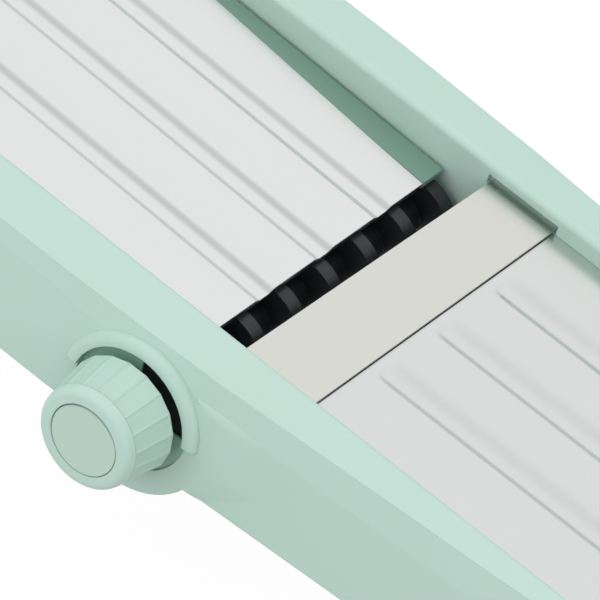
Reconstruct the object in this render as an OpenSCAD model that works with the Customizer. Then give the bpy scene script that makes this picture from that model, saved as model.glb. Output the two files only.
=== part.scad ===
// Adjustable mandoline slicer on a fold-out stand.
//
// Most pieces are drawn in the deck frame, which deck() then tilts and lifts onto the feet:
// X runs across the slicer, +Y up the ramp to the grip, Z = 0 is the top of the side rails
// at the food channel, and Y = 0 is the middle of the cutting edge.
// The finished part stands on Z = 0 with the origin under the middle of its bounding box.

/* [Frame] */
// Overall width over the two side rails
frame_w = 127.2; // [122:0.2:134]
// Clear width of the food channel between the rails
channel_w = 95.6; // [93:0.2:98]
// Height of the side rails
rail_h = 34; // [33:0.5:38]
// Wall thickness of the hollow mouldings
wall = 2.4; // [2:0.1:3]
// Radius on the channel edge of each rail
rail_edge_r = 1.6; // [1.2:0.1:2.4]
// How far the top of a rail falls towards its outer side
rail_fall = 1.6; // [0.8:0.1:2]
// Height of the leaning facet along the outer side
facet_h = 7.1; // [6:0.1:9]
// Lean of that facet
facet_angle = 5; // [3:0.5:12]
// Where each side first bends in towards the low end
bend_a_y = 36; // [28:1:44]
// Angle of that first bend
bend_a = 1.9; // [1:0.1:2.2]
// Where each side bends in again
bend_b_y = -7; // [-20:1:0]
// Angle of the side beyond the second bend
bend_b = 4.2; // [3.4:0.1:4.4]
// How far up the ramp the facet bends before the side does
facet_lead = 3; // [2:0.5:5]
// Spacing of the cross ribs inside the rails
rib_pitch = 26; // [20:1:40]
// Thickness of the ribs
rib_t = 1.6; // [1.2:0.1:2.4]

/* [Lengths along the deck] */
// Cutting edge to the low end of the rails
low_len = 104; // [90:1:120]
// Cutting edge to the high end of the rails
high_len = 212; // [204:1:240]
// Length of the foot cap beyond the rails
foot_len = 27; // [24:1:34]
// Length of the grip beyond the rails
grip_len = 44; // [40:1:56]

/* [Stance] */
// Slope of the deck when it stands on its feet
deck_tilt = 20.3; // [16:0.1:24]
// Thickness of the rubber pads that show below the foot cap
pad_show = 3; // [2:0.5:4]

/* [Blade] */
// Depth of the blade's top face below the rails
blade_drop = 4.5; // [4:0.1:5]
// Thickness of the blade
blade_t = 1; // [0.8:0.1:1.4]
// Width of the blade from its cutting edge to its back
blade_w = 20; // [18:0.1:22]
// How far the cutting edge is skewed over the channel width
blade_skew = 1.3; // [0:0.1:2]
// Length of the ground bevel under the cutting edge
bevel_len = 3; // [2:0.1:4]
// How far each end of the blade sits in the rail
blade_seat = 1.4; // [1:0.1:1.6]
// Height of the carrier beam under the blade
carrier_h = 10; // [8:0.5:12]

/* [Outfeed deck] */
// Step from the blade down to the outfeed plate
outfeed_step = 0.85; // [0.6:0.05:1.2]
// Thickness of the pressed steel plates
sheet = 0.8; // [0.6:0.1:1]
// Thickness of the plastic bed under the outfeed plate
bed_t = 3; // [2.4:0.1:4]
// Width of the pressed grooves of the outfeed plate
out_groove_w = 6.6; // [6:0.2:8]
// How far the outfeed grooves sit to the right of the middle
out_groove_shift = 0; // [-1:0.2:1]

/* [Ramp] */
// Drop of the ramp's end below the blade's top face at the set thickness
slice_t = 5; // [4:0.1:5.6]
// Width of the throat between the ramp's end and the cutting edge
throat = 10.9; // [9.5:0.1:11.5]
// Slope of the ramp against the rails at the set thickness
ramp_slope = 2; // [1.5:0.1:2.2]
// How far the ramp's hinge lies below the high end of the rails
hinge_inset = 6; // [5:0.5:10]
// Depth of the ramp's hinge below the top of the rails
hinge_drop = 8.2; // [7.6:0.1:8.8]
// Radius of the ramp's hinge pins
hinge_pin_r = 2; // [1.5:0.1:2.5]
// Thickness of the tray under the steel
tray_t = 2; // [1.8:0.1:2.6]
// Half width of the steel at the throat
steel_half_low = 38.5; // [36:0.5:41]
// Half width of the steel at the hinge
steel_half_high = 43.8; // [41:0.2:44]
// Depth of the pressed grooves
groove_d = 0.9; // [0.6:0.1:1]
// Width of the ramp's grooves
groove_w = 8; // [7:0.2:9]
// Spacing of the grooves
groove_pitch = 22.5; // [20:0.5:24]
// Width of each flank of a groove
flank_w = 2.2; // [1.8:0.1:2.6]
// Length of the black shoe that rides on the cams
shoe_len = 11.5; // [10:0.5:14]

/* [Dial and cam drum] */
// Distance of the dial's axis up the ramp from the cutting edge
dial_y = 13.5; // [12.8:0.1:14.2]
// Depth of the dial's axis below the top of the rails
dial_drop = 23.4; // [23:0.1:23.8]
// How far the ramp's end moves from its middle setting to either stop
ramp_travel = 3; // [2:0.2:3.2]
// Turn of the dial from its middle to either stop
dial_turn = 135; // [120:5:140]
// Number of cam rings
ring_count = 7; // [5:1:7]
// Spacing of the cam rings
ring_pitch = 14.4; // [13.5:0.1:14.6]
// Width of a cam ring
ring_w = 4; // [3.5:0.1:5]
// Radius of the drum between its rings
core_r = 4.6; // [4:0.1:5]
// Radius of the steel axle through the drum
axle_r = 2; // [1.5:0.1:2.5]
// Radius of the journal that turns in the left rail
journal_r = 14.6; // [14.4:0.1:14.9]
// Radius of the dial at its back
knob_r = 14.7; // [14:0.1:15.4]
// Radius of the dial at its front
knob_front_r = 12.5; // [11.5:0.1:13.5]
// Distance of the dial's face from the hood
knob_len = 15.8; // [14:0.2:18]
// Gap between the hood and the back of the dial
knob_lift = 1.6; // [1:0.1:2]
// Number of flats round the dial
knob_flats = 18; // [14:1:24]
// Radius of the steel disc in the dial's face
cap_r = 9.1; // [8:0.1:10]
// Number of clicks in a full turn
clicks = 24; // [18:1:36]

/* [Hood round the dial] */
// Radius of the round base on the left rail
base_r = 22; // [21:0.5:23]
// How far the base stands out from the rail at the dial
base_out = 0; // [-0.2:0.1:0.4]
// Outer radius of the half-round hood
hood_r = 19.4; // [19:0.1:20]
// Radius of the recess that the dial sits in
recess_r = 15.9; // [15.8:0.1:16.2]
// How far the hood stands out from the base
hood_out = 1.9; // [1.4:0.1:2.6]

/* [Stand] */
// Distance of the stand's pivots up the ramp from the cutting edge
stand_y = 160; // [150:1:170]
// Depth of the stand's pivots below the top of the rails
stand_drop = 24; // [23.5:0.5:25]
// Lean of the opened legs away from upright
leg_lean = 8; // [4:1:12]
// Thickness of a leg
leg_t = 6; // [5:0.5:7]
// Radius of a leg's eye
leg_eye_r = 7.5; // [7:0.5:8]
// Radius of a leg's lower end
leg_tip_r = 6; // [5.5:0.5:7]
// Radius of the stand's pivot pins
pivot_r = 2.5; // [2:0.1:3]
// Radius of the bar between the legs
bar_r = 3; // [2.5:0.1:3.5]

/* [Fits] */
// Radial clearance of a turning fit
running_fit = 0.05; // [0.03:0.01:0.08]
// Radial clearance of a pressed or screwed fit
seat_fit = 0.02; // [0.02:0.01:0.04]
// Gap between parts that slide or lie side by side
side_gap = 0.2; // [0.15:0.05:0.3]
// Gap between the ramp's edges and the rails
ramp_gap = 1.2; // [1:0.1:1.4]
// Gap between the cams and the shoe
cam_gap = 0.3; // [0.25:0.05:0.35]

/* [Hidden] */
$fn = 64;

// Colours of the finished pieces
mint = "#C4E4D8";
mint_deep = "#A9D2C2";
steel = "#E4E5E2";
bright_steel = "#C9CCCB";
black = "#1E2022";

over = 1;                       // how far a cutter runs past the face it cuts
half_channel = channel_w / 2;
hinge_y = high_len - hinge_inset;
half_frame = frame_w / 2;
blade_z = -blade_drop;
blade_under = blade_z - blade_t;
outfeed_z = blade_z - outfeed_step;
bed_top = outfeed_z - sheet;
bed_under = bed_top - bed_t;
half_deck = half_channel - side_gap;
shell_x = half_channel + wall;  // inside face of a rail's channel wall
rail_room = half_frame - half_channel - 2 * wall;
room_share = rail_room / 11;    // what lies inside a rail grows and shrinks with its room
tongue_low = 16;                // tongues of the end mouldings inside the rails
tongue_high = 22;
tongue_h = 14;
tongue_lift = 5;
screw_lift = 12;
pin_in = wall + 5.6 * room_share;  // how far the pins of the ramp and the stand reach into a rail

// Ramp, in its own frame: origin on the hinge, Y up the ramp, Z out of the steel
ramp_end_z = blade_z - slice_t;
ramp_low = (throat - hinge_y) * cos(ramp_slope) + (ramp_end_z + hinge_drop) * sin(ramp_slope);
ramp_top = (hinge_y - throat) * sin(ramp_slope) + (ramp_end_z + hinge_drop) * cos(ramp_slope);
tray_top = ramp_top - sheet;
tray_under = tray_top - tray_t;
ramp_half = half_channel - ramp_gap;
tray_high = 4.2;                // how far the tray runs past its hinge
barrel_r = hinge_pin_r + 2.2;
barrel_len = 9;
skirt_h = 3;                    // depth of the skirts and ribs under the tray
groove_gap = 0.05;              // room between the pressed grooves and the plastic under them

// Cams
cam_lift = ramp_travel;
cam_rate = cam_lift / dial_turn;                  // radius gained per degree
cam_reach = dial_turn + 15;                       // half of the working spiral
shoe_z = ramp_end_z - (sheet + tray_t) / cos(ramp_slope) + (dial_y - throat) * tan(ramp_slope);
cam_bulge = pow(cam_rate * 180 / PI, 2) / (2 * (dial_drop + shoe_z));
ring_r = dial_drop + shoe_z - cam_gap - cam_bulge;
cam_max = ring_r + cam_rate * cam_reach;
bore_r = journal_r + running_fit;

// Stations along X on the dial's side, measured outwards
rail_face = side_half(dial_y);
recess_floor = rail_face - 5;
base_face = rail_face + base_out;
hood_face = base_face + hood_out;
knob_back = hood_face + knob_lift;
knob_face = hood_face + knob_len;
flange_face = recess_floor + 0.4;
lug_t = 2;
cover_face = recess_floor + lug_t + 1.6;  // disc that hides the lug and its stop
lug_half_angle = 10;
lug_r = recess_r - 0.4;
stop_half_angle = 180 - dial_turn - lug_half_angle - 1;
boss_r = bore_r + wall;
hood_cut = 1.6;                 // where the hood ends, above the dial's axis
shaft_r = 4.5;
knob_body = knob_len - knob_lift;
shaft_len = knob_body - 6;

// Drum's right end, inside the right rail
bearing_x = half_frame - wall - 5 * room_share;
bearing_t = 3 * room_share;
bush_r = 5;
wheel_x = shell_x + 0.8 * room_share;
wheel_t = 2.6 * room_share;
click_r = room_share;           // radius of the click spring's screw
wheel_r = 6;
wheel_tooth = 0.6;

// Fasteners
screw_r = 1.5;
screw_head_r = 3;
screw_head_h = 2;
stud_r = 1.5;
stud_xs = [-30, 0, 30];
nut_r = 3.2;
nut_h = 2.4;

// Floor contact
pad_seat = 1;
rail_low_clear = pad_show + 1;
deck_lift = rail_low_clear + (low_len + 8) * sin(deck_tilt) + rail_h * cos(deck_tilt);
stand_pivot_y = stand_y * cos(deck_tilt) + stand_drop * sin(deck_tilt);
stand_pivot_z = deck_lift + stand_y * sin(deck_tilt) - stand_drop * cos(deck_tilt);
boot_wall = 2;
tip_z = leg_tip_r + boot_wall;
leg_drop = stand_pivot_z - tip_z;
leg_x = half_channel - 1.5 - leg_t;

// Middle of the bounding box, which becomes the origin
grip_h = 22;
grip_fall = 1;
high_end = high_len + grip_len;
low_end = -low_len - foot_len;
foot_fall = 5;
box_low_y = low_end * cos(deck_tilt) + foot_fall * sin(deck_tilt);
box_high_y = high_end * cos(deck_tilt) + (grip_h - 6) * sin(deck_tilt);
origin_x = (knob_face - half_frame) / 2;
origin_y = -(box_low_y + box_high_y) / 2;

// ---------------------------------------------------------------- helpers

function arc(cx, cy, r, a0, a1, n = 8) =
    [for (i = [0:n]) let (a = a0 + (a1 - a0) * i / n) [cx + r * cos(a), cy + r * sin(a)]];

// Half width of the frame at a place along the deck
function side_half(y) = half_frame - room_share
    * (max(0, bend_a_y - max(y, bend_b_y)) * tan(bend_a) + max(0, bend_b_y - y) * tan(bend_b));
function side_points(y0, y1, lead) =
    [for (y = [y0, bend_b_y + lead, bend_a_y + lead, y1]) [side_half(y - lead), y]];

// Outline round two circles, from p0 to p1
function capsule(p0, r0, p1, r1, n = 12) =
    let (d = p1 - p0, len = norm(d), a = atan2(d[1], d[0]), b = acos((r0 - r1) / len))
    concat(arc(p0[0], p0[1], r0, a + b, a + 360 - b, n), arc(p1[0], p1[1], r1, a - b, a + b, n));

// Depth of one pressed groove at a distance from its middle: 1 on its floor, 0 outside it
function groove_share(d, w) =
    abs(d) <= w / 2 - flank_w ? 1 :
    abs(d) >= w / 2 ? 0 : (1 + cos(180 * (abs(d) - w / 2 + flank_w) / flank_w)) / 2;
function groove_steps(w) =
    [for (s = [-1, 1], i = [0:6]) s * (w / 2 - flank_w) + (s < 0 ? i - 6 : i) * flank_w / 6];

module deck() {
    translate([origin_x, origin_y, deck_lift]) rotate([deck_tilt, 0, 0]) children();
}

module ramp_place() {
    deck() translate([0, hinge_y, -hinge_drop]) rotate([ramp_slope, 0, 0]) children();
}

module dial_place() {
    deck() translate([0, dial_y, -dial_drop]) children();
}

module stand_place() {
    translate([origin_x, origin_y + stand_pivot_y, stand_pivot_z]) children();
}

// Extrudes an XZ outline from y0 to y1
module along_y(y0, y1) {
    translate([0, y1, 0]) rotate([90, 0, 0]) linear_extrude(y1 - y0) children();
}

// Extrudes a YZ outline from x0 to x1
module along_x(x0, x1) {
    translate([x0, 0, 0]) rotate([90, 0, 90]) linear_extrude(x1 - x0) children();
}

// Cylinder along X
module rod_x(x0, x1, r) {
    translate([x0, 0, 0]) rotate([0, 90, 0]) cylinder(h = x1 - x0, r = r);
}

// Cylinder along Z
module rod_z(z0, z1, r) {
    translate([0, 0, z0]) cylinder(h = z1 - z0, r = r);
}

module both_sides() {
    children();
    mirror([1, 0, 0]) children();
}

// ---------------------------------------------------------------- side rails

// Section of a rail at its channel edge and top; the outer side is cut to the waist later
module rail_section() {
    reach = half_frame + 6;
    top_slope = rail_fall / (half_frame - half_channel - rail_edge_r);
    polygon(concat(
        [[half_channel, -rail_h]],
        arc(half_channel + rail_edge_r, -rail_edge_r, rail_edge_r, 180, 90, 6),
        [[reach, -(reach - half_channel - rail_edge_r) * top_slope], [reach, -rail_h]]
    ));
}

// Prism that follows the bent outer side
module side_prism(y0, y1, shrink, squeeze, lead, z0, z1) {
    pts = side_points(y0, y1, lead);
    translate([0, 0, z0]) linear_extrude(z1 - z0)
        polygon(concat([[0, y0]], [for (p = pts) [(p[0] - shrink) * squeeze, p[1]]], [[0, y1]]));
}

module rail_envelope(y0, y1) {
    intersection() {
        along_y(y0, y1) rail_section();
        side_prism(y0 - over, y1 + over, 0, 1, 0, -rail_h - over, over);
        translate([0, 0, -facet_h]) rotate([0, -facet_angle, 0])
            side_prism(y0 - over, y1 + over, 0, cos(facet_angle), facet_lead, -rail_h - 20, facet_h + 20);
    }
}

module rail_hollow() {
    roof = -wall - rail_fall / 2;
    difference() {
        intersection() {
            along_y(-low_len - over, high_len + over) polygon([
                [shell_x, -rail_h - over], [shell_x, roof], [half_frame - wall - 2, roof - rail_fall / 2],
                [half_frame, roof - 4], [half_frame, -rail_h - over]
            ]);
            side_prism(-low_len - 2 * over, high_len + 2 * over, wall, 1, 0, -rail_h - 2 * over, 0);
        }
        for (y = [-low_len + rib_pitch : rib_pitch : high_len - rib_pitch / 2])
            if (abs(y - dial_y) > boss_r + rib_t && abs(y - stand_y) > 8 && abs(y - hinge_y) > 18)
                translate([half_channel, y - rib_t / 2, -rail_h + 12]) cube([20, rib_t, rail_h]);
    }
}

// What both rails share, drawn for the right rail
module rail_body(edge_y) {
    tongue_y = screw_ys();
    difference() {
        union() {
            difference() {
                rail_envelope(-low_len, high_len);
                rail_hollow();
            }
            // bosses that carry the hinge pins of the ramp and of the stand
            translate([0, hinge_y, -hinge_drop]) rod_x(half_channel, half_channel + pin_in, hinge_pin_r + wall - 0.6);
            translate([0, stand_y, -stand_drop]) rod_x(half_channel, half_channel + pin_in + room_share, pivot_r + wall);
            // ledge under the outfeed bed
            along_y(-low_len, -blade_w - side_gap) translate([half_channel - 2.2, bed_under - 2.2])
                square([2.2 + wall / 2, 2.2]);
            // lug under the end of the blade carrier
            translate([half_channel - 7, -blade_w + 2, blade_under - carrier_h - 4])
                cube([7 + wall / 2, 9, 4]);
            stand_stop();
        }
        // pocket for the end of the blade
        translate([half_channel - over, -blade_w - 0.6, blade_under - 0.1])
            cube([blade_seat + side_gap + over, blade_w + 1.6 + edge_y, blade_t + 1.7]);
        translate([0, hinge_y, -hinge_drop]) rod_x(half_channel - over, half_channel + pin_in + room_share, hinge_pin_r + seat_fit);
        translate([0, stand_y, -stand_drop]) rod_x(half_channel - 2, half_channel + pin_in + 2 * room_share, pivot_r + seat_fit);
        for (y = tongue_y)
            translate([0, y, -rail_h + screw_lift]) rod_x(half_channel - over, shell_x + over, screw_r + 0.1);
        translate([half_channel - 3.5, carrier_screw_y(), 0])
            rod_z(-rail_h, blade_under - carrier_h + over, screw_r + 0.1);
    }
}

function screw_ys() = [-low_len + 9, high_len - 13];
function carrier_screw_y() = -blade_w + 6.5;

// Block that the opened leg leans on, set square to the leg
module stand_stop() {
    lean = leg_lean - deck_tilt;
    translate([half_channel - 1.5 - leg_t, stand_y, -stand_drop]) rotate([lean, 0, 0])
        translate([0, leg_eye_r + 0.3, -8]) cube([leg_t + 1.5 + wall / 2, 4, 6]);
}

module ring_sector(r0, r1, mid, half, x0, x1) {
    along_x(x0, x1) intersection() {
        difference() {
            circle(r = r1);
            circle(r = r0);
        }
        polygon(concat([[0, 0]], arc(0, 0, r1 * 1.3, mid - half, mid + half, 8)));
    }
}

// Round base that shows below the rail, kept clear of the facet
module dial_base() {
    top = dial_drop - facet_h - 2;
    intersection() {
        rod_x(-base_face, -rail_face + 3, base_r);
        translate([-base_face - over, -base_r - over, -base_r - over])
            cube([3 + 2 * over, 2 * (base_r + over), base_r + over + top]);
    }
}

// Half ring over the dial, its outer edge rounded down to the side of the rail
module hood() {
    edge = hood_out;
    depth = 4;
    intersection() {
        translate([-hood_face + edge + depth, 0, 0]) rotate([0, -90, 0]) rotate_extrude() polygon(concat(
            [[0, 0], [hood_r, 0], [hood_r, depth]],
            [for (i = [1:8]) [hood_r - edge * 1.3 * (1 - cos(90 * i / 8)), depth + edge * sin(90 * i / 8)]],
            [[0, depth + edge]]
        ));
        translate([-hood_face - over, -hood_r - over, hood_cut])
            cube([hood_out + depth + 2 * over, 2 * (hood_r + over), hood_r + over]);
    }
}

module left_rail() {
    color(mint) deck() difference() {
        union() {
            difference() {
                union() {
                    mirror([1, 0, 0]) rail_body(blade_skew / 2);
                    translate([0, dial_y, -dial_drop]) {
                        rod_x(-recess_floor, -half_channel, boss_r);
                        rod_x(-rail_face + 1, -recess_floor + wall, recess_r + wall);
                        dial_base();
                        hood();
                    }
                }
                translate([0, dial_y, -dial_drop]) rod_x(-hood_face - over, -recess_floor, recess_r);
            }
            // stop for the dial's lug
            translate([0, dial_y, -dial_drop])
                ring_sector(bore_r, recess_r + 0.5, -90, stop_half_angle, -recess_floor - lug_t, -recess_floor + 0.5);
        }
        translate([0, dial_y, -dial_drop]) rod_x(-hood_face - over, -half_channel + over, bore_r);
    }
}

module right_rail() {
    web_low = rail_h - dial_drop - 0.4;
    color(mint) deck() difference() {
        union() {
            rail_body(-blade_skew / 2);
            // wall that holds the axle's bush, on two webs
            translate([0, dial_y, -dial_drop]) {
                rod_x(bearing_x, bearing_x + bearing_t, bush_r + wall);
                translate([bearing_x, -bush_r - wall - 10, -2])
                    cube([bearing_t, 2 * bush_r + 2 * wall + 20, 4]);
                for (s = [-1, 1])
                    translate([bearing_x, s * (bush_r + wall + 10) - rib_t / 2, -web_low])
                        cube([bearing_t, rib_t, web_low + dial_drop - wall - 0.4]);
                // lug for the click spring
                translate([shell_x - 0.4, 9, -wheel_r - 5.4]) cube([wheel_x + wheel_t + 0.8 * room_share - shell_x + 0.4, 6, 3]);
            }
        }
        translate([0, dial_y, -dial_drop]) {
            rod_x(half_channel - over, shell_x + over, axle_r + 1);
            rod_x(bearing_x - over, bearing_x + bearing_t + over, bush_r + seat_fit);
            translate([wheel_x + wheel_t / 2, 12, 0]) rod_z(-wheel_r - 6, -wheel_r, click_r + seat_fit);
        }
    }
}

// ---------------------------------------------------------------- caps and feet

module foot_cap() {
    corner = 15;
    color(mint) difference() {
        deck() difference() {
            union() {
                intersection() {
                    // plan outline with round corners
                    translate([0, 0, -rail_h - 20]) linear_extrude(rail_h + 30) polygon(concat(
                        arc(side_half(low_end) - corner, low_end + corner, corner, -90, bend_b, 8),
                        [[side_half(-low_len), -low_len], [-side_half(-low_len), -low_len]],
                        arc(-side_half(low_end) + corner, low_end + corner, corner, 180 - bend_b, 270, 8)
                    ));
                    // side view: level with the rails, then rounded down to the nose
                    along_x(-half_frame - over, half_frame + over) polygon(concat(
                        [[-low_len, -rail_h], [-low_len, 0]],
                        arc(low_end + 22, -26, 26, 90, 148, 8),
                        [[low_end, -16], [low_end, -rail_h]]
                    ));
                    foot_crown();
                }
                both_sides() foot_tongue();
            }
            // hollow underside
            translate([-side_half(low_end) + wall + 6, low_end + wall + 8, -rail_h - over])
                cube([2 * (side_half(low_end) - wall - 6), foot_len - 2 * wall - 10, rail_h - 9]);
            both_sides() translate([0, screw_ys()[0], -rail_h + screw_lift])
                rod_x(shell_x - over, half_frame, screw_r + seat_fit);
        }
        // level underside that the pads are set in
        translate([origin_x - frame_w, origin_y - 400, -60]) cube([2 * frame_w, 600, 60 + pad_show]);
        for (s = [-1, 1]) translate([origin_x + s * pad_x() - pad_w / 2, origin_y + pad_y() - pad_l / 2, -over])
            cube([pad_w, pad_l, pad_show + pad_seat + over]);
    }
}

pad_w = 24;
pad_l = 11;
function pad_x() = side_half(low_end) - 24;
function pad_y() = (low_end + 11) * cos(deck_tilt) + rail_h * sin(deck_tilt);

// Crown across the cap, falling to both sides as the rails' tops do
module foot_crown() {
    along_y(low_end - over, -low_len + over) polygon([
        [-half_frame, -rail_h - 20], [half_frame, -rail_h - 20], [half_frame, -rail_fall],
        [half_channel + rail_edge_r, 0], [-half_channel - rail_edge_r, 0], [-half_frame, -rail_fall]
    ]);
}

// Tongue that slides into the low end of the hollow rail
module foot_tongue() {
    translate([shell_x + side_gap, -low_len - over, -rail_h + tongue_lift])
        cube([side_half(-low_len) - wall - shell_x - 0.6 * room_share, tongue_low + over, tongue_h]);
}

module foot_pads() {
    color(black) for (s = [-1, 1])
        translate([origin_x + s * pad_x() - pad_w / 2 + side_gap, origin_y + pad_y() - pad_l / 2 + side_gap, 0])
            cube([pad_w - 2 * side_gap, pad_l - 2 * side_gap, pad_show + pad_seat]);
}

module head_grip() {
    corner = 20;
    end_half = 42;
    slot_r = 9;
    slot_half = 30;
    slot_y = high_end - 12 - slot_r;
    color(mint) deck() difference() {
        union() {
            intersection() {
                translate([0, 0, -rail_h - 5]) linear_extrude(rail_h + 10) polygon(concat(
                    [[-half_frame, high_len], [half_frame, high_len]],
                    [for (i = [1:6]) [half_frame - 9 * (1 - cos(15 * i)), high_len + 16 * sin(15 * i) * 1.1]],
                    arc(end_half - corner, high_end - corner, corner, 25, 90, 8),
                    arc(-end_half + corner, high_end - corner, corner, 90, 155, 8),
                    [for (i = [6:-1:1]) [-half_frame + 9 * (1 - cos(15 * i)), high_len + 16 * sin(15 * i) * 1.1]]
                ));
                along_x(-half_frame - over, half_frame + over) polygon(concat(
                    [[high_len, 0], [high_len, -rail_h]],
                    [for (i = [1:8]) [high_len + 14 * i / 8, -rail_h + (rail_h - grip_h) * sin(90 * i / 8)]],
                    arc(high_end - 8, -grip_h + 8, 8, -90, 0, 5),
                    arc(high_end - 8, -8 - grip_fall, 8, 0, 90, 5)
                ));
                head_crown();
            }
            both_sides() translate([shell_x + side_gap, high_len - tongue_high, -rail_h + tongue_lift])
                cube([half_frame - wall - shell_x - 2.4 * room_share, tongue_high + over, tongue_h]);
        }
        // finger slot
        for (s = [-1, 1]) translate([s * (slot_half - slot_r), slot_y, 0]) rod_z(-rail_h - over, over, slot_r);
        translate([-slot_half + slot_r, slot_y - slot_r, -rail_h - over])
            cube([2 * (slot_half - slot_r), 2 * slot_r, rail_h + 2 * over]);
        both_sides() translate([0, screw_ys()[1], -rail_h + screw_lift])
            rod_x(shell_x - over, half_frame, screw_r + seat_fit);
    }
}

module head_crown() {
    along_y(high_len - over, high_end + over) polygon([
        [-half_frame, -rail_h - over], [half_frame, -rail_h - over], [half_frame, -rail_fall],
        [half_channel + rail_edge_r, 0], [-half_channel - rail_edge_r, 0], [-half_frame, -rail_fall]
    ]);
}

// ---------------------------------------------------------------- outfeed deck

// Outline of a groove's half section, turned for its round end
module groove_half_section(w, d) {
    polygon(concat(
        [[0, over], [0, -d], [w / 2 - flank_w, -d]],
        [for (i = [1:6]) [w / 2 - flank_w + flank_w * i / 6, -d * groove_share(w / 2 - flank_w + flank_w * i / 6, w)]],
        [[w / 2, over]]
    ));
}

module groove_cut(w, d, y0, y1) {
    along_y(y0, y1 - w / 2) {
        groove_half_section(w, d);
        mirror([1, 0]) groove_half_section(w, d);
    }
    translate([0, y1 - w / 2, 0]) rotate_extrude() groove_half_section(w, d);
}

function out_groove_x(i) = (i - 1) * groove_pitch + out_groove_shift;

module outfeed_bed() {
    low = -low_len + side_gap;
    high = -blade_w - side_gap;
    color(mint) deck() difference() {
        translate([-half_deck, low, bed_under]) cube([2 * half_deck, high - low, bed_t]);
        for (i = [0:2]) translate([out_groove_x(i), 0, bed_top])
            groove_cut(out_groove_w + 2 * groove_gap + 1.2, groove_d + groove_gap, low - over, high - 0.6);
    }
}

module outfeed_plate() {
    low = -low_len + side_gap;
    high = -blade_w - side_gap;
    color(steel) deck() difference() {
        union() {
            translate([-half_deck, low, bed_top]) cube([2 * half_deck, high - low, sheet]);
            for (i = [0:2]) translate([out_groove_x(i), 0, bed_top])
                difference() {
                    groove_cut(out_groove_w + 1, groove_d, low, high - 1);
                    translate([-20, low - over, 0]) cube([40, high - low + 2 * over, 4]);
                }
        }
        for (i = [0:2]) translate([out_groove_x(i), 0, outfeed_z])
            groove_cut(out_groove_w, groove_d, low - over, high - 1.4);
    }
}

// ---------------------------------------------------------------- blade

module blade_carrier() {
    color(black) deck() difference() {
        along_x(-half_deck, half_deck) polygon([
            [-bevel_len - 0.4, blade_under], [-bevel_len - 0.4, blade_under - 1.4],
            [-bevel_len - 6.4, blade_under - carrier_h], [-blade_w, blade_under - carrier_h],
            [-blade_w, blade_under]
        ]);
        for (x = stud_xs) translate([x, -blade_w / 2 - 2, 0])
            rod_z(blade_under - carrier_h - over, blade_under + over, stud_r + side_gap);
        both_sides() translate([half_channel - 3.5, carrier_screw_y(), 0])
            rod_z(blade_under - carrier_h - over, blade_under - 3, screw_r + seat_fit);
    }
}

module blade() {
    half = half_channel + blade_seat;
    color(bright_steel) deck() intersection() {
        // section with the ground bevel, turned to the skew of the edge
        rotate([0, 0, -atan(blade_skew / channel_w)]) along_x(-half - 5, half + 5) polygon([
            [0, blade_z], [-blade_w - 5, blade_z], [-blade_w - 5, blade_under],
            [-bevel_len, blade_under], [0, blade_z - 0.1]
        ]);
        translate([-half, -blade_w, blade_under - over]) cube([2 * half, blade_w + 5, blade_t + 2 * over]);
    }
}

module blade_studs() {
    color(bright_steel) deck() for (x = stud_xs) translate([x, -blade_w / 2 - 2, 0])
        rod_z(blade_under - carrier_h - nut_h - 1, blade_under, stud_r);
}

module blade_nuts() {
    color(bright_steel) deck() for (x = stud_xs)
        translate([x, -blade_w / 2 - 2, blade_under - carrier_h - nut_h]) difference() {
            cylinder(h = nut_h, r = nut_r, $fn = 6);
            rod_z(-over, nut_h + over, stud_r + seat_fit);
        }
}

// Pan-head screw with its head below Z = 0 and its shank upwards
module screw(len) {
    difference() {
        union() {
            rod_z(-screw_head_h, 0, screw_head_r);
            rod_z(-0.1, len, screw_r);
        }
        rotate([0, 0, 45]) for (a = [0, 90]) rotate([0, 0, a])
            translate([-1.8, -0.4, -screw_head_h - over]) cube([3.6, 0.8, 1 + over]);
    }
}

module carrier_screws() {
    color(bright_steel) deck() both_sides()
        translate([half_channel - 3.5, carrier_screw_y(), blade_under - carrier_h - 4]) screw(9);
}

module frame_screws() {
    color(bright_steel) deck() both_sides() for (y = screw_ys())
        translate([half_channel, y, -rail_h + screw_lift]) rotate([0, 90, 0]) screw(wall + 2.6 * room_share);
}

// ---------------------------------------------------------------- ramp

function ramp_groove_x(i) = (i - 1) * groove_pitch;

// Half width of the steel along the ramp, in the ramp's frame
function steel_half(y) = steel_half_high + (steel_half_low - steel_half_high) * y / ramp_low;

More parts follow.
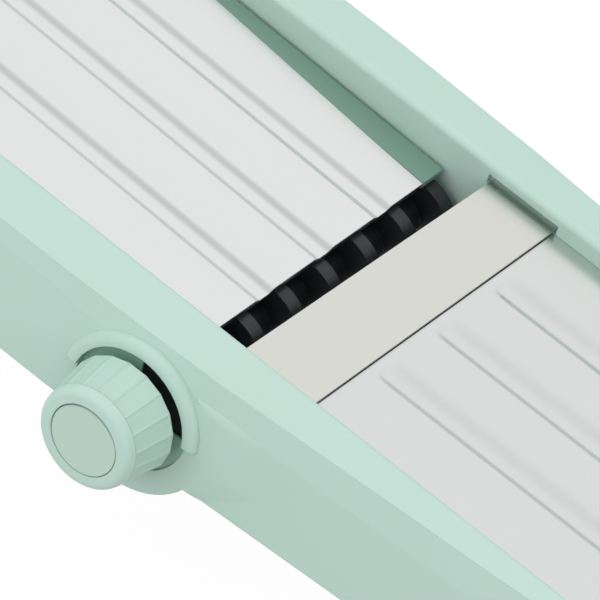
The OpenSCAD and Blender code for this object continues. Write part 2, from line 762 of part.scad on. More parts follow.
module ramp_tray() {
    corner = 0.6;
    shoe_high = ramp_low + shoe_len;
    color(mint_deep) ramp_place() difference() {
        union() {
            // panel under the steel
            translate([-ramp_half, shoe_high, tray_under])
                cube([2 * ramp_half, tray_high - shoe_high, tray_t]);
            // raised borders, wider towards the throat
            both_sides() translate([0, 0, tray_top - 1]) linear_extrude(sheet + 1) polygon(concat(
                [[steel_half(tray_high) + side_gap, tray_high], [steel_half(ramp_low) + side_gap, ramp_low]],
                arc(ramp_half - corner, ramp_low + corner, corner, -90, 0, 5),
                [[ramp_half, tray_high]]
            ));
            // skirts and ribs
            both_sides() translate([ramp_half - 2, shoe_high + 6, tray_under - skirt_h])
                cube([2, -10 - shoe_high - 6, skirt_h + over]);
            for (x = [-groove_pitch / 2, groove_pitch / 2])
                translate([x - rib_t / 2, shoe_high + 6, tray_under - skirt_h])
                    cube([rib_t, -10 - shoe_high - 6, skirt_h + over]);
            // hinge barrels
            both_sides() {
                rod_x(ramp_half - barrel_len, ramp_half, barrel_r);
                translate([ramp_half - barrel_len, -barrel_r, 0])
                    cube([barrel_len, 2 * barrel_r, tray_under + over]);
            }
        }
        for (i = [0:2]) translate([ramp_groove_x(i) - groove_w / 2 - groove_gap, ramp_low - over, tray_top - groove_d - groove_gap])
            cube([groove_w + 2 * groove_gap, tray_high - ramp_low + 2 * over, groove_d + sheet]);
        both_sides() rod_x(ramp_half - barrel_len - over, ramp_half + over, hinge_pin_r + running_fit);
    }
}

module ramp_plate() {
    edge = steel_half_high + 2;
    xs = concat([-edge], [for (i = [0:2], s = groove_steps(groove_w)) ramp_groove_x(i) + s], [edge]);
    function floor_z(x) = ramp_top - groove_d
        * max([for (i = [0:2]) groove_share(x - ramp_groove_x(i), groove_w)]);
    color(steel) ramp_place() intersection() {
        along_y(ramp_low, tray_high) polygon(concat(
            [for (x = xs) [x, floor_z(x)]],
            [for (k = [len(xs) - 1 : -1 : 0]) [xs[k], floor_z(xs[k]) - sheet]]
        ));
        translate([0, 0, tray_under - over]) linear_extrude(10) polygon([
            [-steel_half(tray_high), tray_high], [-steel_half(ramp_low), ramp_low],
            [steel_half(ramp_low), ramp_low], [steel_half(tray_high), tray_high]
        ]);
    }
}

module ramp_shoe() {
    color(black) ramp_place() difference() {
        translate([-steel_half_low + 0.4, ramp_low + 0.5, tray_under])
            cube([2 * steel_half_low - 0.8, shoe_len - 0.5 - side_gap, tray_t]);
        for (i = [0:2]) translate([ramp_groove_x(i) - groove_w / 2 - groove_gap, ramp_low - over, tray_top - groove_d - groove_gap])
            cube([groove_w + 2 * groove_gap, shoe_len + 2 * over, groove_d + 1]);
    }
}

module ramp_hinge_pins() {
    color(bright_steel) deck() translate([0, hinge_y, -hinge_drop]) both_sides()
        rod_x(ramp_half - barrel_len + 0.5, half_channel + pin_in + room_share / 2, hinge_pin_r);
}

// ---------------------------------------------------------------- dial and cam drum

// Spiral outline of one cam, highest behind the blade, with its step at the underside
module cam_outline() {
    steps = 60;
    polygon([for (i = [0:steps]) let (b = cam_reach - 2 * cam_reach * i / steps, r = ring_r + cam_rate * b)
        [-r * sin(b), r * cos(b)]]);
}

module cam_drum() {
    first = -(ring_count - 1) / 2 * ring_pitch;
    color(black) dial_place() difference() {
        union() {
            rod_x(-flange_face, first + (ring_count - 1) * ring_pitch + ring_w / 2, core_r);
            for (i = [0:ring_count - 1])
                along_x(first + i * ring_pitch - ring_w / 2, first + i * ring_pitch + ring_w / 2) cam_outline();
            // journal: two discs on a hub
            rod_x(-flange_face, -flange_face + 4, journal_r);
            rod_x(-half_channel - 3.2, -half_channel - 0.3, journal_r);
            rod_x(-flange_face, -half_channel - 0.3, journal_r - 4);
            // lug that meets the stop
            ring_sector(journal_r - 3, lug_r, 90, lug_half_angle, -cover_face + 1, -recess_floor - 0.2);
            rod_x(-cover_face + 1, -flange_face + 1, journal_r - 2);
            rod_x(-cover_face, -cover_face + 1.2, lug_r);
            // shaft that carries the knob
            rod_x(-knob_back - shaft_len, -flange_face + 1, shaft_r);
        }
        // flat on the shaft
        translate([-knob_back - shaft_len - over, -shaft_r - over, shaft_r - 1.2])
            cube([shaft_len + over, 2 * shaft_r + 2, 4]);
        rod_x(-half_channel, half_channel + 10, axle_r + seat_fit);
        rod_x(-knob_back - shaft_len - over, -flange_face, screw_r + seat_fit);
    }
}

module drum_axle() {
    color(bright_steel) dial_place() rod_x(-half_channel + 0.3, bearing_x + bearing_t + room_share, axle_r);
}

module axle_bush() {
    color(black) dial_place() difference() {
        union() {
            rod_x(bearing_x - 1, bearing_x, bush_r + 1);
            rod_x(bearing_x - 0.5, bearing_x + bearing_t, bush_r);
        }
        rod_x(bearing_x - 2, bearing_x + bearing_t + over, axle_r + running_fit);
    }
}

module click_wheel() {
    steps = 6 * clicks;
    color(black) dial_place() difference() {
        along_x(wheel_x, wheel_x + wheel_t) polygon([for (i = [0:steps - 1])
            let (a = 360 * i / steps, r = wheel_r - wheel_tooth * (1 + cos(clicks * (a + 90))) / 2)
            [r * cos(a), r * sin(a)]]);
        rod_x(wheel_x - over, wheel_x + wheel_t + over, axle_r + seat_fit);
    }
}

// Leaf spring: a foot on its lug and a nose under the wheel
module click_spring() {
    leaf = 0.5;
    nose = -wheel_r - 0.15;
    foot_z = -wheel_r - 1.9;
    color(bright_steel) dial_place() difference() {
        along_x(wheel_x, wheel_x + wheel_t) polygon([
            [15, foot_z], [8, foot_z], [2.2, nose - 0.9], [0.6, nose], [-0.6, nose],
            [-3.6, nose - 1.4], [-3.6, nose - 1.4 - leaf], [-0.4, nose - leaf], [0.4, nose - leaf],
            [2.4, nose - 0.9 - leaf], [8, foot_z - leaf], [15, foot_z - leaf]
        ]);
        translate([wheel_x + wheel_t / 2, 12, 0]) rod_z(foot_z - 2, foot_z + 2, click_r + seat_fit);
    }
}

module click_screw() {
    color(bright_steel) dial_place() translate([wheel_x + wheel_t / 2, 12, 0]) {
        rod_z(-wheel_r - 5, -wheel_r - 1.8, click_r);
        rod_z(-wheel_r - 1.9, -wheel_r - 0.9, 1.9 * click_r);
    }
}

module dial_knob() {
    step = 360 / knob_flats;
    cone = atan((knob_r - knob_front_r) / knob_body);
    rim = 1.8;
    front_r = knob_r - (knob_body - rim) * tan(cone);
    color(mint) dial_place() translate([-knob_back, 0, 0]) rotate([0, -90, 0]) difference() {
        rotate_extrude() polygon(concat(
            [[shaft_r + seat_fit, 0], [knob_r - 0.5, 0], [knob_r, 0.5]],
            arc(front_r - rim, knob_body - rim, rim, 0, 90, 6),
            [[cap_r + side_gap, knob_body], [cap_r + side_gap, knob_body - 1.4], [screw_head_r + 0.6, knob_body - 1.4],
             [screw_head_r + 0.6, knob_body - 1.4 - screw_head_h], [screw_r + 0.1, knob_body - 1.4 - screw_head_h],
             [screw_r + 0.1, shaft_len + 0.2], [shaft_r + seat_fit, shaft_len + 0.2]]
        ));
        for (i = [0:knob_flats - 1]) rotate([0, 0, (i + 0.5) * step])
            translate([knob_r * cos(step / 2), 0, 0]) rotate([0, -cone, 0])
                translate([0, -knob_r / 2, -over]) cube([4, knob_r, knob_body - rim + over]);
    }
}

module dial_cap() {
    color(bright_steel) dial_place() rod_x(-knob_face, -knob_face + 1, cap_r);
}

module dial_screw() {
    color(bright_steel) dial_place() translate([-knob_face + 1.4 + screw_head_h, 0, 0]) rotate([0, 90, 0])
        screw(knob_body - 4);
}

// ---------------------------------------------------------------- stand

// Outline of a leg in the YZ plane, from its eye to its tip
leg_foot = [leg_drop * tan(leg_lean), -leg_drop];

module stand_leg(s) {
    color(mint) stand_place() mirror([s < 0 ? 1 : 0, 0, 0]) difference() {
        along_x(leg_x, leg_x + leg_t) polygon(capsule([0, 0], leg_eye_r, leg_foot, leg_tip_r));
        // lightening recess on the inner face
        along_x(leg_x - over, leg_x + leg_t - wall) polygon(capsule(
            leg_foot * 0.18, leg_eye_r - wall - 0.4, leg_foot * 0.80, leg_tip_r - wall - 0.2));
        rod_x(leg_x - over, leg_x + leg_t + over, pivot_r + running_fit);
        translate([0, leg_foot[0], leg_foot[1] + 3]) rod_x(leg_x - over, leg_x + leg_t - 1.5, bar_r + seat_fit);
    }
}

module stand_leg_left() {
    stand_leg(-1);
}

module stand_leg_right() {
    stand_leg(1);
}

module stand_cross_bar() {
    color(bright_steel) stand_place() translate([0, leg_foot[0], leg_foot[1] + 3])
        rod_x(-leg_x - leg_t + 1.7, leg_x + leg_t - 1.7, bar_r);
}

// Rubber boots on the tips of the legs
module stand_feet() {
    boot_r = leg_tip_r + boot_wall;
    color(black) stand_place() both_sides() difference() {
        intersection() {
            along_x(leg_x - boot_wall + 0.4, leg_x + leg_t + 1) polygon(capsule(
                leg_foot, boot_r, leg_foot * 0.94 + [0, 0], boot_r - 0.4));
            translate([0, -100, -stand_pivot_z]) cube([100, 300, tip_z + 2]);
        }
        along_x(leg_x - side_gap / 2, leg_x + leg_t + side_gap / 2) polygon(capsule([0, 0], leg_eye_r + 0.1, leg_foot, leg_tip_r + 0.1));
        translate([0, leg_foot[0], leg_foot[1] + 3]) rod_x(leg_x - 5, leg_x + 1, bar_r + side_gap);
    }
}

module stand_pivot_pins() {
    color(bright_steel) deck() translate([0, stand_y, -stand_drop]) both_sides() {
        rod_x(leg_x - 2.3, leg_x - 0.3, pivot_r + 2);
        rod_x(leg_x - 0.4, half_channel + pin_in, pivot_r);
    }
}

module stand_washers() {
    color(black) deck() translate([0, stand_y, -stand_drop]) both_sides() difference() {
        rod_x(leg_x + leg_t + 0.3, half_channel, pivot_r + 2.5);
        rod_x(leg_x + leg_t, half_channel + over, pivot_r + seat_fit);
    }
}

// ---------------------------------------------------------------- assembly

left_rail();
right_rail();
foot_cap();
foot_pads();
head_grip();
outfeed_bed();
outfeed_plate();
blade_carrier();
blade();
blade_studs();
blade_nuts();
carrier_screws();
frame_screws();
ramp_hinge_pins();
stand_pivot_pins();
stand_washers();
axle_bush();
click_spring();
click_screw();
ramp_tray();
ramp_plate();
ramp_shoe();
cam_drum();
drum_axle();
click_wheel();
dial_knob();
dial_cap();
dial_screw();
stand_leg_left();
stand_leg_right();
stand_cross_bar();
stand_feet();
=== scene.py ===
import math

import bmesh
import bpy
from mathutils import Matrix, Vector


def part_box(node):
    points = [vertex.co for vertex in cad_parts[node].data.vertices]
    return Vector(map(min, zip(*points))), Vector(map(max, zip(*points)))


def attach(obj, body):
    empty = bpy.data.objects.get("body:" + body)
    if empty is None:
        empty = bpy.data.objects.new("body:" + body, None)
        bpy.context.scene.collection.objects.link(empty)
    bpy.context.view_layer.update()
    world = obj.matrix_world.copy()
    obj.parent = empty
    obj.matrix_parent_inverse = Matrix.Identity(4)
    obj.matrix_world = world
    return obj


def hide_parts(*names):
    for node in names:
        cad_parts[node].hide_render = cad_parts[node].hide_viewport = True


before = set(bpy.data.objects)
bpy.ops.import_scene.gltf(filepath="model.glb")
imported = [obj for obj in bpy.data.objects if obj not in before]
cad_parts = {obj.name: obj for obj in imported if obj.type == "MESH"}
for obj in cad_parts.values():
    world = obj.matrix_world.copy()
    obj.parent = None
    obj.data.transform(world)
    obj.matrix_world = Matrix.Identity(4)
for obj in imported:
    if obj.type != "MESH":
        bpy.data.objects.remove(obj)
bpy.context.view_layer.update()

# ---------------------------------------------------------------- side rails
# Two hollow side mouldings, the left one with the round base and half-round hood of the dial.
# Injection-moulded polypropylene in pale mint, with soft edges where the tool's halves were
# rounded, screwed to the end caps from inside the food channel.


def hex_linear(code):
    """The linear colour of an sRGB hex value."""
    parts = [int(code[i:i + 2], 16) / 255 for i in (1, 3, 5)]
    return [v / 12.92 if v <= 0.04045 else ((v + 0.055) / 1.055) ** 2.4 for v in parts] + [1.0]


def add_node(tree, kind, values=None, links=None, **settings):
    """Adds one node with its settings, socket values and links, and returns it."""
    node = tree.nodes.new(kind)
    for key, value in settings.items():
        setattr(node, key, value)
    for key, value in (values or {}).items():
        node.inputs[key].default_value = value
    for key, source in (links or {}).items():
        tree.links.new(source, node.inputs[key])
    return node


def new_material(name):
    """An empty node material and its output node."""
    material = bpy.data.materials.new(name)
    material.use_nodes = True
    material.node_tree.nodes.clear()
    output = material.node_tree.nodes.new("ShaderNodeOutputMaterial")
    return material, output


# a spark-eroded tool leaves grain of 0.05 to 0.1 mm, too fine to show, so it is drawn coarser
spark_grain_mm = 0.35
spark_grain_depth = 0.00001
flow_marks_mm = 40.0


def moulded_plastic(name, colour, shade, roughness, edge_mm):
    """Moulded plastic: a faint cloud in its colour, the spark grain of the tool, soft edges."""
    material, output = new_material(name)
    tree = material.node_tree
    place = add_node(tree, "ShaderNodeTexCoord").outputs["Object"]
    # the colour drifts a little, as flow marks do
    cloud = add_node(tree, "ShaderNodeTexNoise", {"Scale": 1000 / flow_marks_mm, "Detail": 2.0},
                     {"Vector": place})
    tint = add_node(tree, "ShaderNodeValToRGB", links={"Fac": cloud.outputs["Fac"]})
    for element, position, code in zip(tint.color_ramp.elements, (0.3, 0.7), (colour, shade)):
        element.position = position
        element.color = hex_linear(code)
    # the noise shows features about six to the unit, so its scale is divided by six
    grain = add_node(tree, "ShaderNodeTexNoise",
                     {"Scale": 1000 / spark_grain_mm / 6.0, "Detail": 3.0}, {"Vector": place})
    round_edge = add_node(tree, "ShaderNodeBevel", {"Radius": edge_mm / 1000}, samples=4)
    bump = add_node(tree, "ShaderNodeBump", {"Strength": 0.35, "Distance": spark_grain_depth},
                    {"Height": grain.outputs["Fac"], "Normal": round_edge.outputs["Normal"]})
    shader = add_node(tree, "ShaderNodeBsdfPrincipled", {"Roughness": roughness, "IOR": 1.49},
                      {"Base Color": tint.outputs["Color"], "Normal": bump.outputs["Normal"]})
    tree.links.new(shader.outputs["BSDF"], output.inputs["Surface"])
    return material


def paint(material, *nodes):
    """Gives CAD nodes their finish."""
    for node in nodes:
        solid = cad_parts[node]
        for slot in solid.material_slots:
            slot.material = material


# polypropylene reads as a soft, milky surface with a broad highlight
mint_polypropylene = moulded_plastic("mint_polypropylene", "#BEDAD0", "#BAD7CC", 0.42, 0.4)
paint(mint_polypropylene, "left_rail", "right_rail")

# ---------------------------------------------------------------- foot cap and pads
# The cap that closes the low end, moulded in the same mint polypropylene and screwed between
# the rails, and the two moulded rubber pads pushed into its level underside.
paint(mint_polypropylene, "foot_cap")
# matt rubber takes hardly any highlight
black_rubber = moulded_plastic("black_rubber", "#222426", "#1B1C1E", 0.75, 0.4)
paint(black_rubber, "foot_pads")

# ---------------------------------------------------------------- grip
# The high end's moulding with the finger slot that the slicer is held by: mint polypropylene
# again, closed all round and screwed into the rails from below.
paint(mint_polypropylene, "head_grip")

# ---------------------------------------------------------------- outfeed deck
# A mint polypropylene bed with a pressed stainless plate clipped over it. The three grooves of
# the plate keep wet slices from sticking.
paint(mint_polypropylene, "outfeed_bed")


# streaks coarser than real 240 grit so that they show: 0.8 mm apart and about 70 mm long
streaks_per_mm = 1.2
streak_stretch = 0.012
streak_depth = 0.00001
sheet_edge_mm = 0.15
slope = math.radians(20.3)      # of the deck, and of the brushing with it


def brushed_steel(name, colour, roughness):
    """Sheet metal with a satin finish brushed along the slicer: faint streaks in its gloss."""
    material, output = new_material(name)
    tree = material.node_tree
    place = add_node(tree, "ShaderNodeTexCoord").outputs["Object"]
    turned = add_node(tree, "ShaderNodeMapping", {"Rotation": (-slope, 0, 0)},
                      {"Vector": place}, vector_type="TEXTURE")
    long = add_node(tree, "ShaderNodeMapping", {"Scale": (1.0, streak_stretch, 1.0)},
                    {"Vector": turned.outputs["Vector"]}, vector_type="POINT")
    streaks = add_node(tree, "ShaderNodeTexNoise",
                       {"Scale": 1000 * streaks_per_mm, "Detail": 3.0, "Roughness": 0.6},
                       {"Vector": long.outputs["Vector"]})
    rough = add_node(tree, "ShaderNodeMapRange",
                     {"To Min": roughness - 0.003, "To Max": roughness + 0.005},
                     {"Value": streaks.outputs["Fac"]})
    round_edge = add_node(tree, "ShaderNodeBevel", {"Radius": sheet_edge_mm / 1000}, samples=4)
    bump = add_node(tree, "ShaderNodeBump", {"Strength": 0.06, "Distance": streak_depth},
                    {"Height": streaks.outputs["Fac"], "Normal": round_edge.outputs["Normal"]})
    shader = add_node(tree, "ShaderNodeBsdfPrincipled",
                      {"Base Color": hex_linear(colour), "Metallic": 1.0},
                      {"Roughness": rough.outputs["Result"], "Normal": bump.outputs["Normal"]})
    tree.links.new(shader.outputs["BSDF"], output.inputs["Surface"])
    return material


# the deck's own frame: X across, Y up the slope, Z out of it, tilted and lifted onto the feet
deck = (Matrix.Translation((0.0084768, -0.0622609, 0.0747450))
        @ Matrix.Rotation(slope, 4, "X"))


def pressed_section(centres, near, far, depth):
    """Points across a sheet: each groove falls on a soft curve and rises on another."""
    steps = 8
    points = []
    for centre in centres:
        for (start, end), down in ((near, True), (far, False)):
            for i in range(steps + 1):
                fall = (1 - math.cos(math.pi * i / steps)) / 2
                points.append((centre + start + (end - start) * i / steps,
                               depth * (fall if down else 1 - fall)))
    return points


def pressed_sheet(section, rows, top, sheet):
    """A sheet grown row by row, each with its place, two edges and share of the full depth."""
    bm = bmesh.new()
    points = [(0, 0)] + section + [(0, 0)]
    chain = [bm.verts.new((0, 0, 0)) for _ in points]
    edges = [bm.edges.new(pair) for pair in zip(chain, chain[1:])]
    for number, (y, left, right, share) in enumerate(rows):
        if number:
            grown = bmesh.ops.extrude_edge_only(bm, edges=edges)["geom"]
            new = {item for item in grown if isinstance(item, bmesh.types.BMVert)}
            chain = sorted(new, key=lambda vert: vert.co.x)
            edges = [item for item in grown
                     if isinstance(item, bmesh.types.BMEdge) and new.issuperset(item.verts)]
        for vert, (x, fall) in zip(chain, points):
            vert.co = (x / 1000, y / 1000, (top - fall * share) / 1000)
        chain[0].co.x, chain[-1].co.x = left / 1000, right / 1000
    bmesh.ops.recalc_face_normals(bm, faces=bm.faces)
    if sum(face.normal.z for face in bm.faces) < 0:
        bmesh.ops.reverse_faces(bm, faces=bm.faces)
    bmesh.ops.solidify(bm, geom=bm.faces[:], thickness=sheet / 1000)
    return bm


def finish_piece(name, bm, material, smooth=30.0):
    """Makes an object of the built mesh, shaded smooth up to an angle."""
    mesh = bpy.data.meshes.new(name)
    bm.normal_update()
    for edge in bm.edges:
        edge.smooth = len(edge.link_faces) == 2 and edge.calc_face_angle(0.0) < math.radians(smooth)
    for face in bm.faces:
        face.smooth = True
    bm.to_mesh(mesh)
    bm.free()
    mesh.materials.append(material)
    piece = bpy.data.objects.new(name, mesh)
    bpy.context.scene.collection.objects.link(piece)
    return piece


# half-millimetre sheet, 95 mm wide; the grooves start 2 mm behind the blade and reach their
# full depth within 6 mm, steep on their near side and shallow on their far side
groove_centres = (-22.5, 0.0, 22.5)
outfeed_half = 47.6
outfeed_rows = ((-20.2, 0), (-22.4, 0), (-22.9, 0.25), (-23.8, 0.6), (-25.4, 0.88), (-28, 1),
                (-103.8, 1))
section = pressed_section(groove_centres, near=(-3.0, 0.1), far=(1.2, 7.2), depth=0.9)
bm = pressed_sheet(section, [(y, -outfeed_half, outfeed_half, share) for y, share in outfeed_rows],
                   top=-5.35, sheet=0.5)
bmesh.ops.transform(bm, matrix=deck, verts=bm.verts)
outfeed_stainless = brushed_steel("satin_stainless_outfeed_sheet", "#DADDDB", 0.27)
outfeed_sheet = finish_piece("outfeed_pressed_sheet", bm, outfeed_stainless)
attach(outfeed_sheet, "frame")
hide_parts("outfeed_plate")

# ---------------------------------------------------------------- blade and carrier
# A ground stainless blade with a skewed edge, held by weld studs and nuts on a black glass-filled
# nylon carrier, which two zinc-plated screws hold to lugs on the rails. The same bright zinc is
# on the slicer's other screws and pins, and the same nylon makes its washers and bush.
ground_blade_steel = brushed_steel("ground_blade_steel", "#DADAD5", 0.3)
paint(ground_blade_steel, "blade")
black_nylon = moulded_plastic("black_glass_filled_nylon", "#17181A", "#101113", 0.5, 0.3)
paint(black_nylon, "blade_carrier")
zinc_plated_steel = brushed_steel("zinc_plated_steel", "#C9CCCB", 0.28)
paint(zinc_plated_steel, "blade_studs", "blade_nuts", "carrier_screws", "frame_screws",
      "ramp_hinge_pins", "stand_pivot_pins", "click_spring", "click_screw")
paint(black_nylon, "stand_washers", "axle_bush")

# ---------------------------------------------------------------- ramp
# The tilting ramp: a moulded tray of mint polypropylene with raised borders, its colour darkened as
# painted shade for the shade on its border beside the far wall, a pressed stainless plate laid in
# it, and the black nylon shoe under its low end that rides on the cams.
# painted shade: the tray's mint is darker than the rails' to stand in for the shade on its far
# border
painted_shade_mint_polypropylene = moulded_plastic("painted_shade_mint_polypropylene", "#759687", "#719283",
                                          0.42, 0.4)
paint(painted_shade_mint_polypropylene, "ramp_tray")
satin_stainless = brushed_steel("satin_stainless_sheet", "#E3E5E4", 0.27)
# measured from the hinge: the left edge is straight, the right one widens on a curve
ramp_right_edge = ((-195.026, 38.45), (-180, 39.07), (-160, 40.25), (-130, 42.1), (-100, 43.35),
                   (-70, 44.0), (-40, 44.3), (4.2, 44.5))
section = pressed_section(groove_centres, near=(-3.5, -0.9), far=(1.5, 4.3), depth=0.85)
bm = pressed_sheet(section, [(y, -46.06 - 0.03313 * y, right, 1) for y, right in ramp_right_edge],
                   top=5.53, sheet=0.6)
hinge = Matrix.Translation((0, 0.206, -0.0082)) @ Matrix.Rotation(math.radians(2), 4, "X")
bmesh.ops.transform(bm, matrix=deck @ hinge, verts=bm.verts)
ramp_sheet = finish_piece("ramp_pressed_sheet", bm, satin_stainless)
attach(ramp_sheet, "ramp")
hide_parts("ramp_plate")
paint(black_nylon, "ramp_shoe")

# ---------------------------------------------------------------- cam drum
# One black acetal moulding: seven spiral cams on a core, a journal and a shaft for the knob. It
# is pressed on a steel axle together with the toothed click wheel.
black_acetal = moulded_plastic("black_acetal", "#2A2D30", "#25282B", 0.35, 0.3)
paint(black_acetal, "cam_drum", "click_wheel")
paint(zinc_plated_steel, "drum_axle", "dial_screw")

# ---------------------------------------------------------------- dial
# The tapered knob, moulded in mint polypropylene with eighteen grip flats that stop at a smooth
# rounded rim. A bare satin disc is pressed into its face over the screw that holds the knob.
knob_low, knob_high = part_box("dial_knob")
knob_middle = ((knob_low[1] + knob_high[1]) / 2, (knob_low[2] + knob_high[2]) / 2)
knob_length = knob_high[0] - knob_low[0]
back_radius = 0.0147
taper = 0.155                   # radius lost per length
grip_length = knob_length - 0.0021
grip_flats = 18
ridge_half = 0.0006             # half the width of the ridge between two flats
flat_sink = 0.0002
rim_radius = 0.0019
pocket_radius = 0.00918         # of the pocket that holds the disc
pocket_depth = 0.0012


def spun(profile, steps=96):
    """A turned shape about Z from a profile of radius and height."""
    bm = bmesh.new()
    loop = [bm.verts.new((radius, 0, height)) for radius, height in profile]
    chain = [bm.edges.new(pair) for pair in zip(loop, loop[1:])]
    bmesh.ops.spin(bm, geom=loop + chain, cent=(0, 0, 0), axis=(0, 0, 1), angle=math.tau,
                   steps=steps, use_merge=True)
    bmesh.ops.remove_doubles(bm, verts=bm.verts, dist=0.000001)
    bmesh.ops.recalc_face_normals(bm, faces=bm.faces)
    return bm


def onto_dial(bm, x):
    """Turns a shape drawn about Z onto the dial's axis, its foot at x."""
    quarter_turn = Matrix.Rotation(-math.pi / 2, 3, "Y")
    bmesh.ops.rotate(bm, cent=(0, 0, 0), matrix=quarter_turn, verts=bm.verts)
    bmesh.ops.translate(bm, verts=bm.verts, vec=(x, *knob_middle))


# the rim: one turned profile with the pocket for the disc
rim_start = grip_length - 0.0006
outer = back_radius - taper * (knob_length - rim_radius) + 0.00005
profile = [(0.0, rim_start), (outer + 0.0002, rim_start),
           (outer + 0.0001, knob_length - rim_radius - 0.0003)]
for turn in range(0, 91, 10):
    profile.append((outer - rim_radius * (1 - math.cos(math.radians(turn))),
                    knob_length - rim_radius * (1 - math.sin(math.radians(turn)))))
profile += [(pocket_radius + 0.0002, knob_length), (pocket_radius, knob_length - 0.0002),
            (pocket_radius, knob_length - pocket_depth), (0.0, knob_length - pocket_depth)]
bm = spun(profile)

# the grip: a tapered drum of eighteen flats, each sunk a little between narrow ridges
grip = bmesh.ops.create_cone(bm, cap_ends=True, segments=grip_flats, radius1=back_radius,
                             radius2=back_radius - taper * grip_length, depth=grip_length)["verts"]
bmesh.ops.translate(bm, vec=(0, 0, grip_length / 2), verts=grip)
on_grip = set(grip)
flats = [face for face in bm.faces if len(face.verts) == 4 and on_grip.issuperset(face.verts)]
bmesh.ops.inset_individual(bm, faces=flats, thickness=ridge_half, depth=-flat_sink)
bmesh.ops.recalc_face_normals(bm, faces=bm.faces)
onto_dial(bm, knob_high[0])
grip_knob = finish_piece("dial_grip_knob", bm, mint_polypropylene, 25.0)
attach(grip_knob, "dial")
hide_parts("dial_knob")

# the disc: stamped a little domed, with a rolled edge
disc_low, disc_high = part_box("dial_cap")
disc_radius = (disc_high[1] - disc_low[1]) / 2
disc_height = disc_high[0] - disc_low[0]
rolled_edge = ((0.0, 0.0004), (0.0001, 0.0002), (0.0003, 0.00008), (0.0008, 0.00005))
profile = [(0.0, 0.0), (disc_radius, 0.0)]
profile += [(disc_radius - inward, disc_height - below) for inward, below in rolled_edge]
bm = spun(profile + [(0.0, disc_height)], 64)
onto_dial(bm, disc_high[0])
satin_aluminium = brushed_steel("satin_anodised_aluminium", "#B9D0C4", 0.35)
face_disc = finish_piece("dial_face_disc", bm, satin_aluminium, 40.0)
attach(face_disc, "dial")
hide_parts("dial_cap")

# the ring that closes the recess behind the knob, 0.6 mm thick and snapped in, open on one side
# where the drum's lug is put in; its mint, between the rail's and the tray's, is darkened as
# painted shade of the recess
dial_axis = deck @ Matrix.Translation((0, 0.0135, -0.0234))
ring_inner, ring_outer, ring_thick = 0.0095, 0.01588, 0.0006
ring_start, ring_sweep = math.radians(175), math.radians(269)
bm = bmesh.new()
wall = bm.faces.new([bm.verts.new((x, radius, 0)) for x, radius in (
    (0, ring_inner), (0, ring_outer), (ring_thick, ring_outer), (ring_thick, ring_inner))])
bmesh.ops.rotate(bm, cent=(0, 0, 0), matrix=Matrix.Rotation(ring_start, 3, "X"), verts=bm.verts)
bmesh.ops.spin(bm, geom=[wall], cent=(0, 0, 0), axis=(1, 0, 0), angle=ring_sweep, steps=80,
               use_duplicate=False)
bmesh.ops.recalc_face_normals(bm, faces=bm.faces)
bmesh.ops.transform(bm, matrix=dial_axis @ Matrix.Translation((-0.06235, 0, 0)), verts=bm.verts)
# painted shade: the ring's mint is darker than the rail's for the shade deep in the recess
painted_shade_mint_ring = moulded_plastic("painted_shade_ring_polypropylene", "#93C0AE", "#8FBCAA", 0.42, 0.2)
recess_ring = finish_piece("dial_recess_ring", bm, painted_shade_mint_ring)
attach(recess_ring, "frame")

# the blend that carries the round base down into the tapering side wall: a fan about the dial's
# axis, cut off at the facet above and at the rail's lower edge, then pushed out to the base
base_radius, base_face = 22.2, -62.93
facet_rise, lower_edge = 15.6, -10.55
bm = bmesh.new()
spine = [bm.verts.new((0, radius / 1000, 0)) for radius in (
    20.5, 21.4, 22.3, 23.5, 25, 27, 29.5, 32, 35, 38)]
edges = [bm.edges.new(pair) for pair in zip(spine, spine[1:])]
fan_start, fan_sweep = math.radians(129), math.radians(86)
bmesh.ops.rotate(bm, cent=(0, 0, 0), matrix=Matrix.Rotation(fan_start, 3, "X"), verts=bm.verts)
bmesh.ops.spin(bm, geom=edges, cent=(0, 0, 0), axis=(1, 0, 0), angle=fan_sweep, steps=64,
               use_duplicate=False)
for height, way in ((facet_rise, 1), (lower_edge, -1)):
    bmesh.ops.bisect_plane(bm, geom=bm.verts[:] + bm.edges[:] + bm.faces[:],
                           plane_co=(0, 0, height / 1000), plane_no=(0, 0, way), clear_outer=True)
for vert in bm.verts:
    across, rise = vert.co.y * 1000, vert.co.z * 1000
    radius = math.hypot(across, rise)
    # the side wall bends in more steeply below the blade
    wall = -62.24 - (across + 18.5) * (0.034 if across > -18.5 else 0.0733)
    # the blend is 16 mm wide, but only 5 mm at the lower edge
    reach = 15.7 - 10.2 * min(max((-1 - rise) / 9.5, 0), 1)
    out = min(max((radius - base_radius) / reach, 0), 1)
    over = min(max((rise - 14.2) / 1.4, 0), 1)
    share = (1 - out * out * (3 - 2 * out)) * (1 - over)
    # its borders are sunk a little into the rail
    sunk = 0.06 + 0.3 * over + (0.1 if radius < 20.6 else 0.0)
    vert.co.x = (wall + sunk + (base_face - wall) * share) / 1000
bmesh.ops.recalc_face_normals(bm, faces=bm.faces)
if sum(face.normal.x for face in bm.faces) > 0:
    bmesh.ops.reverse_faces(bm, faces=bm.faces)
bmesh.ops.solidify(bm, geom=bm.faces[:], thickness=0.0012)
bmesh.ops.transform(bm, matrix=dial_axis, verts=bm.verts)
base_blend = finish_piece("dial_base_blend", bm, mint_polypropylene)
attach(base_blend, "frame")

# ---------------------------------------------------------------- stand
# Two moulded mint legs on pivot pins, joined by a zinc-plated steel cross bar, with rubber
# boots pushed on their tips.
paint(mint_polypropylene, "stand_leg_left", "stand_leg_right")
paint(zinc_plated_steel, "stand_cross_bar")
paint(black_rubber, "stand_feet")

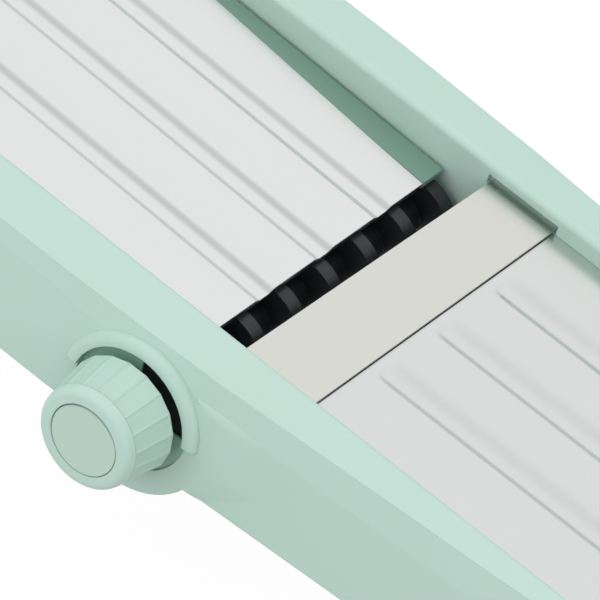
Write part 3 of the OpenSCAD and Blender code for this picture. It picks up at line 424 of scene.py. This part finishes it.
# ---------------------------------------------------------------- floor, light and camera
# A white paper sweep in a bright room with three soft lamps. The paper looks white to the camera
# but is greyer for the light that it throws back, so the pale plastics keep their shade.
bm = bmesh.new()
bmesh.ops.create_grid(bm, x_segments=1, y_segments=1, size=6.0)
floor_mesh = bpy.data.meshes.new("floor")
bm.to_mesh(floor_mesh)
bm.free()
floor = bpy.data.objects.new("floor", floor_mesh)
bpy.context.scene.collection.objects.link(floor)
floor_paper, output = new_material("white_paper_sweep")
tree = floor_paper.node_tree
ray = add_node(tree, "ShaderNodeLightPath")
seen = add_node(tree, "ShaderNodeMath",
                links={0: ray.outputs["Is Camera Ray"], 1: ray.outputs["Is Glossy Ray"]},
                operation="MAXIMUM")
part = add_node(tree, "ShaderNodeMath", {1: 0.9}, {0: seen.outputs["Value"]}, operation="MULTIPLY")
paper = add_node(tree, "ShaderNodeBsdfDiffuse", {"Color": hex_linear("#BEBEBE")})
glow = add_node(tree, "ShaderNodeEmission", {"Color": (1, 1, 1, 1), "Strength": 1.07})
mixed = add_node(tree, "ShaderNodeMixShader", links={
    0: part.outputs["Value"], 1: paper.outputs["BSDF"], 2: glow.outputs["Emission"]})
tree.links.new(mixed.outputs["Shader"], output.inputs["Surface"])
floor_mesh.materials.append(floor_paper)

world = bpy.data.worlds.new("studio")
bpy.context.scene.world = world
world.use_nodes = True
tree = world.node_tree
tree.nodes.clear()
output = tree.nodes.new("ShaderNodeOutputWorld")
ray = add_node(tree, "ShaderNodeLightPath")
place = add_node(tree, "ShaderNodeTexCoord").outputs["Generated"]
height = add_node(tree, "ShaderNodeSeparateXYZ", links={0: place})
# reflections see a bright room that dims towards the horizon and towards its left side
room = add_node(tree, "ShaderNodeValToRGB", links={"Fac": height.outputs["Z"]})
room.color_ramp.interpolation = "EASE"
for spot in (0.2, 0.45, 0.62):
    room.color_ramp.elements.new(spot)
for element, level in zip(room.color_ramp.elements, (0.45, 0.64, 0.92, 0.98, 0.98)):
    element.color = (level, level, level, 1.0)
side = add_node(tree, "ShaderNodeMapRange",
                {"From Min": -0.6, "From Max": 0.7, "To Min": 0.56, "To Max": 1.03},
                {"Value": height.outputs["X"]}, interpolation_type="SMOOTHSTEP")
ambient = add_node(tree, "ShaderNodeBackground", {"Color": (1, 1, 1, 1), "Strength": 0.94})
mirror_room = add_node(tree, "ShaderNodeBackground", links={"Color": room.outputs["Color"],
                                                            "Strength": side.outputs["Result"]})
white = add_node(tree, "ShaderNodeBackground", {"Color": (1, 1, 1, 1), "Strength": 1.0})
lit = add_node(tree, "ShaderNodeMixShader", links={
    0: ray.outputs["Is Glossy Ray"], 1: ambient.outputs[0], 2: mirror_room.outputs[0]})
all_rays = add_node(tree, "ShaderNodeMixShader", links={
    0: ray.outputs["Is Camera Ray"], 1: lit.outputs[0], 2: white.outputs[0]})
tree.links.new(all_rays.outputs["Shader"], output.inputs["Surface"])


def softbox(name, place, target, size, power):
    """A square soft light that faces the object."""
    lamp = bpy.data.lights.new(name, "AREA")
    lamp.energy = power
    lamp.shape = "SQUARE"
    lamp.size = size
    item = bpy.data.objects.new(name, lamp)
    item.location = place
    item.rotation_euler = (Vector(target) - Vector(place)).to_track_quat("-Z", "Y").to_euler()
    item.visible_glossy = False
    bpy.context.scene.collection.objects.link(item)


softbox("overhead", (0.1, 0.2, 1.6), (0.0, 0.0, 0.1), 1.6, 0.8)
softbox("left_side", (-1.4, 0.1, 0.85), (0.0, 0.0, 0.1), 1.2, 4.5)
softbox("front", (-0.3, -1.5, 0.6), (0.0, 0.0, 0.1), 1.2, 2.2)

toward = Vector((-0.6810, -0.5072, 0.5267)).normalized()
right = Vector((0.5970, -0.8017, 0.0)).normalized()
up = toward.cross(right)
deck_origin = Vector((0.008477, -0.060911, 0.073112))
aim = deck_origin + right * -0.01518 + up * -0.00975
lens = bpy.data.cameras.new("camera")
lens.type = "PERSP"
lens.lens = 600.0
lens.sensor_width = 36.0
lens.clip_end = 20.0
camera = bpy.data.objects.new("camera", lens)
camera_distance = 2.2727
camera.matrix_world = (Matrix.Translation(aim + toward * camera_distance)
                       @ Matrix((right, up, toward)).transposed().to_4x4())
bpy.context.scene.collection.objects.link(camera)
bpy.context.scene.camera = camera
bpy.context.scene.view_settings.view_transform = "Standard"
